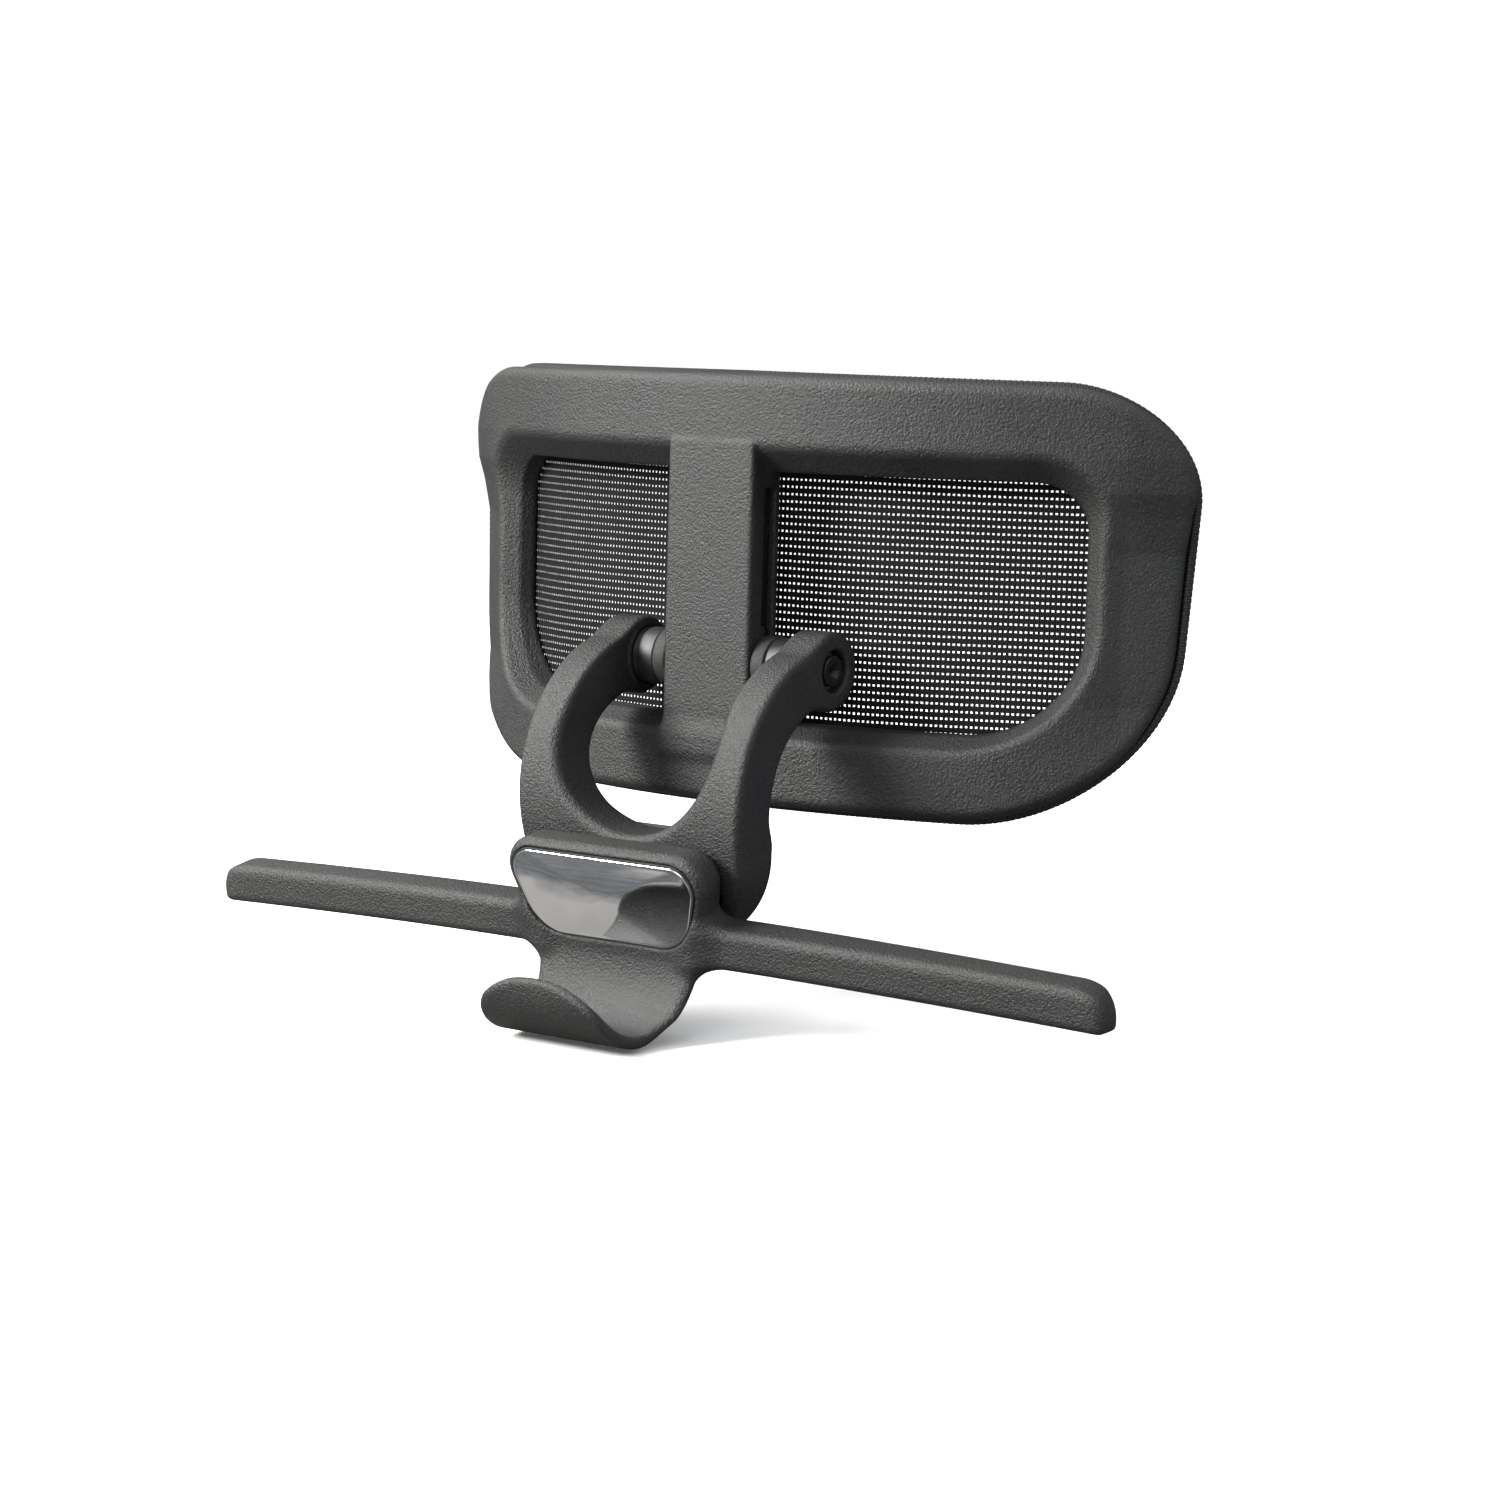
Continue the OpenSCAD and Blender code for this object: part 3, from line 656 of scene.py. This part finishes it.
def satin_metal(name, dark, light, rough=(0.22, 0.36), deep=0.012, metallic=1.0):
    """Turned or plated metal with a fine tooth and small stains."""
    n = Nodes(name)
    stain = n.noise(0.11, 4.0, 0.6)
    fine = n.noise(5.0, 3.0, 0.6)
    colour = n.tint(n.ramp(stain, 0.3, 0.7, 0.0, 1.0), dark, light)
    gloss = n.ramp(n.maths("ADD", stain, fine), 0.7, 1.3, rough[0], rough[1])
    return n.finish(colour, gloss, n.bump(fine, deep), Metallic=metallic)


def rubber(name, dark, light):
    """Matt rubber with a soft uneven bloom."""
    n = Nodes(name)
    patch = n.noise(0.3, 4.0, 0.6)
    colour = n.tint(n.ramp(patch, 0.3, 0.7, 0.0, 1.0), dark, light)
    gloss = n.ramp(n.noise(1.2, 3.0), 0.3, 0.7, 0.62, 0.82)
    return n.finish(colour, gloss, n.bump(n.noise(2.2, 4.0), 0.05), Specular_IOR_Level=0.35)


def mirror(name):
    """Bright plated plastic, with the faint ripple and haze that plating has."""
    n = Nodes(name)
    haze = n.noise(0.09, 3.0, 0.6)
    colour = n.tint(n.ramp(haze, 0.3, 0.7, 0.0, 1.0), (0.80, 0.81, 0.83), (0.90, 0.90, 0.90))
    smear = n.maths("ADD", haze, n.maths("MULTIPLY", n.noise(3.0, 3.0), 0.3))
    gloss = n.ramp(smear, 0.4, 0.9, 0.02, 0.06)
    return n.finish(colour, gloss, n.bump(n.noise(0.05, 1.0), 0.12, 0.6), Metallic=1.0)


def knitted(name, rib_mm, dark, light, shine):
    """Polyester threads: ribs along the weave, soft sheen, and darker colour in large random blotches."""
    n = Nodes(name)
    weave = n.add("ShaderNodeUVMap", uv_map="weave").outputs["UV"]
    scale = 2 * math.pi / (rib_mm * MM) / 20.0
    rib_inputs = {"Vector": weave, "Scale": scale, "Distortion": 0.6, "Detail": 1.0, "Detail Scale": 2.0}
    ribs = n.add("ShaderNodeTexWave", rib_inputs, bands_direction="X").outputs["Fac"]
    twist_inputs = {"Vector": weave, "Scale": scale * 0.8, "Distortion": 1.2, "Detail": 1.0}
    twist = n.add("ShaderNodeTexWave", twist_inputs, bands_direction="DIAGONAL").outputs["Fac"]
    yarn = n.maths("ADD", n.maths("MULTIPLY", ribs, 0.7), n.maths("MULTIPLY", twist, 0.3))
    # colour is darker in large random blotches
    blotch = n.noise(0.04, 3.0)
    blotch_share = n.ramp(blotch, 0.35, 0.65, 0.0, 0.6)
    colour = n.blend(blotch_share, n.tint(yarn, dark, light), n.tint(yarn, dark, dark))
    normal = n.bump(yarn, 0.16)
    gloss = n.ramp(yarn, 0.0, 1.0, 0.75, 0.55)
    return n.finish(colour, gloss, normal, Sheen_Weight=0.1 * shine, Sheen_Roughness=0.4,
                    Specular_IOR_Level=shine)


black_plastic = grained_plastic("black_grained_plastic", (0.0075, 0.0080, 0.0088),
                                (0.0125, 0.0123, 0.0120))
dark_plastic = grained_plastic("dark_plastic", (0.012, 0.012, 0.013), (0.02, 0.02, 0.02),
                               rough=(0.35, 0.5), grain=0.9, deep=0.04)
collar_metal = satin_metal("collar_metal", (0.030, 0.030, 0.032), (0.050, 0.050, 0.053),
                           rough=(0.42, 0.55), deep=0.02, metallic=0.8)
steel = satin_metal("zinc_steel", (0.42, 0.42, 0.43), (0.58, 0.58, 0.58))
black_steel = satin_metal("black_steel", (0.018, 0.018, 0.019), (0.035, 0.034, 0.034),
                          rough=(0.3, 0.45), deep=0.02, metallic=0.7)
brass = satin_metal("brass", (0.56, 0.40, 0.17), (0.68, 0.50, 0.25), (0.25, 0.4), 0.01)
chrome = mirror("chrome")
black_rubber = rubber("black_rubber", (0.012, 0.012, 0.012), (0.022, 0.022, 0.021))
mesh_cloth = knitted("mesh_cloth", 0.62, (0.003, 0.003, 0.0035), (0.010, 0.010, 0.0115), 0.10)
edge_cloth = knitted("edge_cloth", 1.05, (0.006, 0.006, 0.007), (0.022, 0.022, 0.024), 0.25)

# ---- nodes that keep their CAD shape, by material ----
FINISH = (
    (steel, ("mount_washers", "disc_springs", "pivot_axle", "hanger_screws")),
    (steel, ("detent_spring", "detent_ball")),
    (brass, ("pivot_bush_l", "pivot_bush_r", "hanger_inserts")),
    (dark_plastic, ("slider_block", "detent_rack", "mesh_retainer")),
    (black_rubber, ("end_buffers",)),
)
for material, node_names in FINISH:
    for node_name in node_names:
        for material_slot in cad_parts[node_name].material_slots:
            material_slot.material = material


# ---- the pieces ----
frame_pts, frame_faces = skin(head_field, (-176, -27, -52), (176, 3, 102), (1.05, 0.95, 1.05))
head = piece("head_frame_shell", leaned(from_bow(frame_pts)), frame_faces, black_plastic, "headrest",
             ["head_frame"], "black_plastic")
yoke_skin = skin(yoke_field, (-48.6, -48.3, -26.4), (48.6, 25.2, 85.2), (0.8, 0.8, 0.8))
piece("yoke_casting", *yoke_skin, black_plastic, "bracket", ["yoke"], "black_plastic")
hanger_skin = skin(hanger_field, (-188.4, 11.4, -50.6), (188.4, 78.2, 24.0), (0.8, 0.75, 0.75))
piece("hanger_moulding", *hanger_skin, black_plastic, "bracket", ["hanger"], "black_plastic")


def with_weave(obj, uv):
    """Stores each point's place along and across the weave, in metres."""
    layer = obj.data.uv_layers.new(name="weave")
    corner = np.empty(len(obj.data.loops), dtype=np.int64)
    obj.data.loops.foreach_get("vertex_index", corner)
    layer.data.foreach_set("uv", (uv[corner] * MM).ravel())


cloth_pts, cloth_faces, cloth_uv = cloth_mesh()
cloth = piece("mesh_fabric", leaned(cloth_pts), cloth_faces, mesh_cloth, "headrest", ["mesh_panel"],
              "mesh_fabric", smooth=False)
with_weave(cloth, cloth_uv)
welt_pts, welt_faces, welt_uv = welt_mesh()
welt = piece("mesh_edge_welt", leaned(welt_pts), welt_faces, edge_cloth, "headrest", ["mesh_rim"],
             "mesh_fabric")
with_weave(welt, welt_uv)


# ---- small parts ----
def swept(outline, section):
    """A closed section (out, y) carried round a closed outline in x and z."""
    section = np.array(section)
    place = outline[:, None, :] + outward(outline)[:, None, :] * section[None, :, :1]
    pts = np.stack([place[..., 0], np.broadcast_to(section[:, 1], place.shape[:2]), place[..., 1]], 2)
    # Each quad keeps its first corner and is walked the other way round.
    return pts.reshape(-1, 3), tube_faces(*place.shape[:2])[:, [0, 3, 2, 1]]


def badge_mesh(back_y, edge_y, crown):
    """Plate with a fine bevelled rim and a slightly crowned face."""
    outline = spaced(badge_edge, 1.0)
    normal = outward(outline)
    centre = np.array([0.0, 2.0])
    face_y = edge_y - 0.05
    rim = [(0.3, back_y), (0, back_y + 0.2), (0, edge_y - 0.5)]
    rim += [(0.15, edge_y - 0.15), (0.5, edge_y), (0.8, face_y)]
    loops = [(outline - normal * d, y) for d, y in rim]
    inner = outline - normal * 1.0
    for t in np.linspace(1.0, 0.04, 22):
        loops.append((centre + (inner - centre) * t, face_y + crown * (1 - t * t)))
    n = len(outline)
    pts = [np.stack([ring[:, 0], np.full(n, y), ring[:, 1]], 1) for ring, y in loops]
    pts.append([[centre[0], face_y + crown, centre[1]], [centre[0], back_y, centre[1]]])
    pts = np.concatenate(pts)
    faces = []
    for k in range(len(loops) - 1):
        for i in range(n):
            j = (i + 1) % n
            faces.append((k * n + i, k * n + j, (k + 1) * n + j, (k + 1) * n + i)[::-1])
    last = (len(loops) - 1) * n
    for i in range(n):
        j = (i + 1) % n
        faces.append((last + j, last + i, len(loops) * n))
        faces.append((i, j, len(loops) * n + 1))
    return pts, faces


def on_axle(part):
    return moved(part, y=AXLE_Y, z=AXLE_Z)


discs = ring_part(10.5, AXLE_R, 18.3, 23.7, 0.9)
collar_profile = [(24, 3.4), (24, 10), (30.3, 10), (30.6, 9.4), (31.4, 9.4), (31.7, 10), (33, 10),
                  (33, 3.4)]
collars = lathe(fillet(collar_profile, 0.5, closed=True), closed=True)
for tag, turn in (("l", lambda part: part), ("r", mirrored)):
    piece(f"friction_disc_{tag}_turned", *on_axle(turn(discs)), black_rubber, "slider",
          [f"friction_disc_{tag}"], "black_rubber")
    piece(f"friction_collar_{tag}_turned", *on_axle(turn(collars)), collar_metal, "bracket",
          [f"friction_collar_{tag}"], "collar_metal")
washer = ring_part(6.4, AXLE_R, 42.3, 43.3, 0.3)
piece("pivot_washers_turned", *on_axle(joined(washer, mirrored(washer))), steel, "slider",
      ["pivot_washers"], "bright_steel")
screw = cap_screw(5.4, 43.3, 46.3, 2.6, 1.9, tail=[(34.4, 1.0), (35.0, 1.9), (43.2, 1.9)])
piece("pivot_screws_turned", *on_axle(joined(screw, mirrored(screw))), black_steel, "slider",
      ["pivot_screws"], "black_steel")

shank = thread(-14.0, 0.0, 3.0) + [(0.4, 2.6), (10.4, 2.6)]
stud = swung(cap_screw(5.0, 10.5, 16.5, 2.9, 3.0, tail=shank))
studs = joined(moved(stud, x=STUD_X), moved(stud, x=-STUD_X))
piece("mount_bolts_threaded", *studs, steel, "bracket", ["mount_bolts"], "bright_steel")


def pad_field(x, y, z):
    outline = both(yoke_outline(x, z) + 3, np.abs(z) - 17, 4.0)
    plate = both(outline, slab(y, 0, PAD_THICK), 0.45)
    groove_every = 6.0
    from_groove = np.abs(np.mod(x + groove_every / 2, groove_every) - groove_every / 2)
    groove = both(both(from_groove - 0.7, y - 0.45), outline + 4)
    return without(without(plate, groove, 0.2), disc(np.abs(x), z, STUD_X, 0, 3.4), 0.3)


pad = skin(pad_field, (-44.9, -0.75, -17.9), (44.9, 2.3, 17.9), (0.7, 0.5, 0.9))
piece("mount_pad_ribbed", *pad, black_rubber, "bracket", ["mount_pad"], "black_rubber")


def cover_field(x, y, z):
    outline = rect(x, z, -COVER_HALF, COVER_HALF, COVER_LOW, COVER_TOP, 1.5)
    plate = both(outline, slab(y, -7, SPINE_FRONT), 0.6)
    ribs = both(both(np.abs(np.abs(x) - 5) - 0.9, slab(z, -12, 57), 0.5), slab(y, -7.9, -6.5), 0.5)
    holes = [disc(np.abs(x), z, COVER_SCREW_X, at, 1.6) for at in (COVER_SCREW_LOW, COVER_SCREW_TOP)]
    return without(either(plate, ribs, 0.7), np.minimum(*holes), 0.2)


cover_pts, cover_faces = skin(cover_field, (-17.85, -8.6, -27.9), (17.85, -4.1, 72.9), (0.7, 0.5, 0.9))
piece("rail_cover_ribbed", leaned(cover_pts), cover_faces, dark_plastic, "headrest", ["rail_cover"],
      "dark_plastic")
pan = cap_screw(2.9, 7.0, 8.8, 1.0, 0.9, 0.7, tail=[(-1.8, 0.5), (-0.5, 1.45), (6.9, 1.45)])
pan = swung(mirrored(pan))
pan_pts, pan_faces = joined(*[moved(pan, x=x, z=z) for x in (-COVER_SCREW_X, COVER_SCREW_X)
                              for z in (COVER_SCREW_LOW, COVER_SCREW_TOP)])
piece("rail_screws_turned", leaned(pan_pts), pan_faces, steel, "headrest", ["rail_screws"],
      "bright_steel")

PLATE_BACK, PLATE_EDGE, PLATE_CROWN = 15.2, 16.6, 0.9
plate = badge_mesh(PLATE_BACK, PLATE_EDGE, PLATE_CROWN)
piece("badge_mirror", *tilted(plate), chrome, "bracket", ["badge"], "chrome_trim")
gasket_section = fillet([(0.06, 14.65), (0.5, 14.65), (0.5, 16.3), (0.06, 16.3)], 0.15, closed=True, k=3)
piece("badge_seal", *tilted(swept(spaced(badge_edge, 1.0), gasket_section)), black_rubber, "bracket",
      ["badge_gasket"], "black_rubber")


# ---- studio ----
def paper(name, colour):
    n = Nodes(name)
    faint = n.ramp(n.noise(0.01, 3.0), 0.3, 0.7, 0.0, 1.0)
    return n.finish(n.tint(faint, colour, lighter(colour, 0.98)), n.ramp(faint, 0, 1, 0.9, 0.95))


FLOOR_Z = cad_box[0].z - 0.001


def flat_shape(name, pts, material, camera=True, lights=True):
    """A flat stage piece; lights=False makes it show in reflections only."""
    mesh = bpy.data.meshes.new(name)
    mesh.from_pydata(pts, [], [tuple(range(len(pts)))])
    mesh.materials.append(material)
    obj = bpy.data.objects.new(name, mesh)
    bpy.context.scene.collection.objects.link(obj)
    obj.visible_camera = camera
    if not lights:
        obj.visible_diffuse = False
        obj.visible_shadow = False
    return obj


FLOOR_R = 30.0
ROOM_HALF, ROOM_FRONT, ROOM_REAR = 1.5, -1.3, 2.2
FLAG_Z = FLOOR_Z + 0.0003
BOUNCE_Z = FLAG_Z - 0.0001
CARD_Z = FLAG_Z + 0.0003
turns = np.linspace(0, 2 * math.pi, 64, endpoint=False)
floor_rim = [(FLOOR_R * math.cos(a), FLOOR_R * math.sin(a), FLOOR_Z) for a in turns]
flat_shape("floor", floor_rim, paper("floor_paper", (0.93, 0.93, 0.93)))


def ground(z, x0=-ROOM_HALF, y0=ROOM_FRONT, x1=ROOM_HALF, y1=ROOM_REAR):
    return [(x0, y0, z), (x1, y0, z), (x1, y1, z), (x0, y1, z)]


def wall(x0, y0, x1, y1, top):
    return [(x0, y0, FLAG_Z), (x1, y1, FLAG_Z), (x1, y1, top), (x0, y0, top)]


def flag(name, corners, colour):
    """A card that only reflections see, which keeps the white room out of the plastic."""
    flat_shape(name, corners, paper(name, colour), False, False)


def bounce_material():
    """Grey paper from above, clear from below, so that the floor still gets the room's light."""
    n = Nodes("bounce_card")
    below = n.add("ShaderNodeNewGeometry").outputs["Backfacing"]
    n.tree.links.new(n.maths("SUBTRACT", 1.0, below), n.shader.inputs["Alpha"])
    faint = n.noise(0.01, 3.0)
    colour = n.tint(faint, (0.42, 0.42, 0.42), (0.44, 0.44, 0.44))
    return n.finish(colour, n.ramp(faint, 0, 1, 0.9, 0.95))


flag("flag_floor", ground(FLAG_Z), (0.035, 0.035, 0.037))
bounce = flat_shape("bounce", ground(BOUNCE_Z), bounce_material(), False)
bounce.visible_glossy = False
bounce.visible_shadow = False
flag("flag_right", wall(-ROOM_HALF, ROOM_FRONT, -ROOM_HALF, ROOM_REAR, 1.5), (0.07, 0.09, 0.125))
flag("flag_left", wall(ROOM_HALF, ROOM_FRONT, ROOM_HALF, ROOM_REAR, 0.7), (0.20, 0.20, 0.20))
flag("flag_front", wall(-ROOM_HALF, ROOM_FRONT, ROOM_HALF, ROOM_FRONT, 1.3), (0.05, 0.05, 0.05))
flag("flag_rear", wall(-ROOM_HALF, ROOM_REAR, ROOM_HALF, ROOM_REAR, 1.1), (0.15, 0.15, 0.155))


def room_card():
    """What the bright plate mirrors: a dim room with a pale patch and cool streaks."""
    n = Nodes("room_card")
    place = n.add("ShaderNodeSeparateXYZ", {"Vector": n.place}).outputs
    drift = n.maths("MULTIPLY", n.noise(0.03, 3.0, 0.6), 0.03)
    near = n.ramp(n.maths("ADD", place["Y"], drift), 0.092, 0.104, 1.0, 0.0)
    aside = n.ramp(n.maths("ADD", place["X"], drift), 0.085, 0.075, 0.0, 1.0)
    far = n.ramp(n.maths("ADD", place["Y"], drift), 0.128, 0.150, 0.0, 1.0)
    streak = n.add("ShaderNodeMapping", {"Vector": n.place, "Rotation": (0, 0, 0.9), "Scale": (1, 7, 1)})
    streaks = n.ramp(n.noise(0.05, 4.0, 0.7, streak.outputs["Vector"]), 0.45, 0.75, 0.0, 0.7)
    dim = n.tint(streaks, (0.006, 0.007, 0.008), (0.05, 0.065, 0.085))
    pale = n.maths("MAXIMUM", near, n.maths("MULTIPLY", far, aside))
    patch = n.tint(drift, (0.115, 0.112, 0.108), (0.135, 0.132, 0.128))
    return n.finish(n.blend(pale, dim, patch), n.ramp(drift, 0, 1, 0.9, 1.0))


flat_shape("room_card", ground(CARD_Z, -0.06, 0.02, 0.5, 0.6), room_card(), False, False)


def softbox(name, place, size, watts, colour=(1, 1, 1), aim=(0, -0.01, 0.06)):
    light = bpy.data.lights.new(name, "AREA")
    light.shape = "RECTANGLE"
    light.size, light.size_y = size
    light.energy = watts
    light.color = colour
    obj = bpy.data.objects.new(name, light)
    obj.location = place
    obj.rotation_euler = (Vector(aim) - Vector(place)).to_track_quat("-Z", "Y").to_euler()
    bpy.context.scene.collection.objects.link(obj)
    return obj


softbox("key", (0.80, 0.40, 1.0), (0.75, 0.6), 22, (1.0, 0.985, 0.96))
softbox("fill", (-0.2, 1.35, 0.85), (0.8, 0.35), 5)
softbox("side", (0.76, 1.00, 0.70), (0.5, 0.45), 42, (1.0, 0.985, 0.955))
softbox("rim", (-1.3, -0.35, 0.8), (0.3, 0.9), 6, (0.90, 0.95, 1.0))

world = bpy.data.worlds.new("studio")
bpy.context.scene.world = world
world.use_nodes = True
world.node_tree.nodes["Background"].inputs["Color"].default_value = (1.0, 1.0, 1.0, 1)
world.node_tree.nodes["Background"].inputs["Strength"].default_value = 1.15
bpy.context.scene.view_settings.view_transform = "Standard"

camera = bpy.data.cameras.new("camera")
camera.lens, camera.sensor_width = 86.54, 36.0
camera.clip_start, camera.clip_end = 0.01, 100
view_turn, view_drop = math.radians(35.70), math.radians(8.90)
ahead = Vector((math.sin(view_turn) * math.cos(view_drop), -math.cos(view_turn) * math.cos(view_drop),
                -math.sin(view_drop)))
eye = bpy.data.objects.new("camera", camera)
eye.location = (-0.7325, 0.9709, 0.2334)
eye.rotation_euler = ahead.to_track_quat("-Z", "Y").to_euler()
bpy.context.scene.collection.objects.link(eye)
bpy.context.scene.camera = eye
